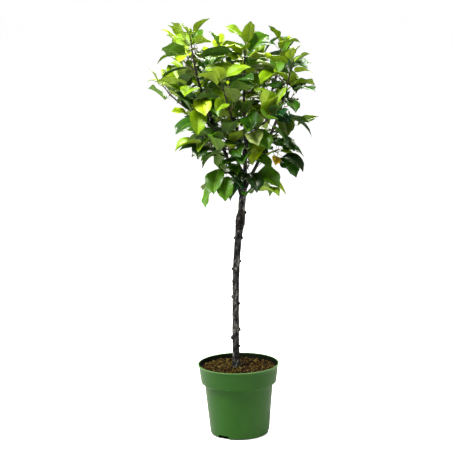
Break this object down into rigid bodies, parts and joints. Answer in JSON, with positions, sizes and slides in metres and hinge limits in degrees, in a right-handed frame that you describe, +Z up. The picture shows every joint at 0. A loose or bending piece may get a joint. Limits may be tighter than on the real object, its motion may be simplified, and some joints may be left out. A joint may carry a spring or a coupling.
{
  "type": "potted dwarf fruit tree",
  "caption": "Young dwarf fruit tree in a round nursery pot: bare grafted trunk, forked boughs and an open vase-shaped crown of broad green leaves.",
  "frame": {"origin": "centre of the pot's flat underside, on the surface it stands on", "axes": "+Z up along the pot's axis; -Y is the front, and +X is to the right seen from the front"},
  "size_m": [0.512, 0.4894, 1.2865],
  "materials": {
    "green_plastic": "satin moulded plastic",
    "compost": "loose bark chips and coir",
    "bark": "matte young bark",
    "foliage": "satin leaf"
  },
  "bodies": {
    "root": {"pot": "green_plastic", "soil": "compost", "trunk": "bark", "bough_left": "bark", "bough_left_outer": "bark", "bough_left_top": "bark", "bough_left_inner": "bark", "bough_right": "bark", "bough_right_inner": "bark", "bough_front_left": "bark", "bough_front_right": "bark", "bough_back_left": "bark", "bough_back_right": "bark", "spur_low_left": "bark", "spur_low_right": "bark", "spur_right_low": "bark", "spur_right_mid": "bark", "spur_left_low": "bark", "spur_left_mid": "bark", "spur_left_back": "bark", "spur_front_low": "bark", "spur_centre_front": "bark", "spur_centre_low": "bark", "spur_mid_front": "bark", "spur_back_left": "bark", "spur_back_right": "bark", "leaves_left_leader": "foliage", "leaves_left_outer": "foliage", "leaves_left_top": "foliage", "leaves_right_leader": "foliage", "leaves_low_left": "foliage", "leaves_low_right": "foliage", "leaves_right_low": "foliage", "leaves_right_mid": "foliage", "leaves_left_low": "foliage", "leaves_left_mid": "foliage", "leaves_front_low": "foliage", "leaves_centre_low": "foliage", "leaves_mid_front": "foliage", "leaves_centre_front": "foliage", "leaves_front_right": "foliage", "leaves_front_left": "foliage", "leaves_right_inner": "foliage", "leaves_centre": "foliage", "leaves_left_inner": "foliage", "leaves_back_right": "foliage", "leaves_back_left": "foliage", "leaves_left_back": "foliage", "leaves_back_low_left": "foliage", "leaves_back_low_right": "foliage"}
  },
  "joints": []
}
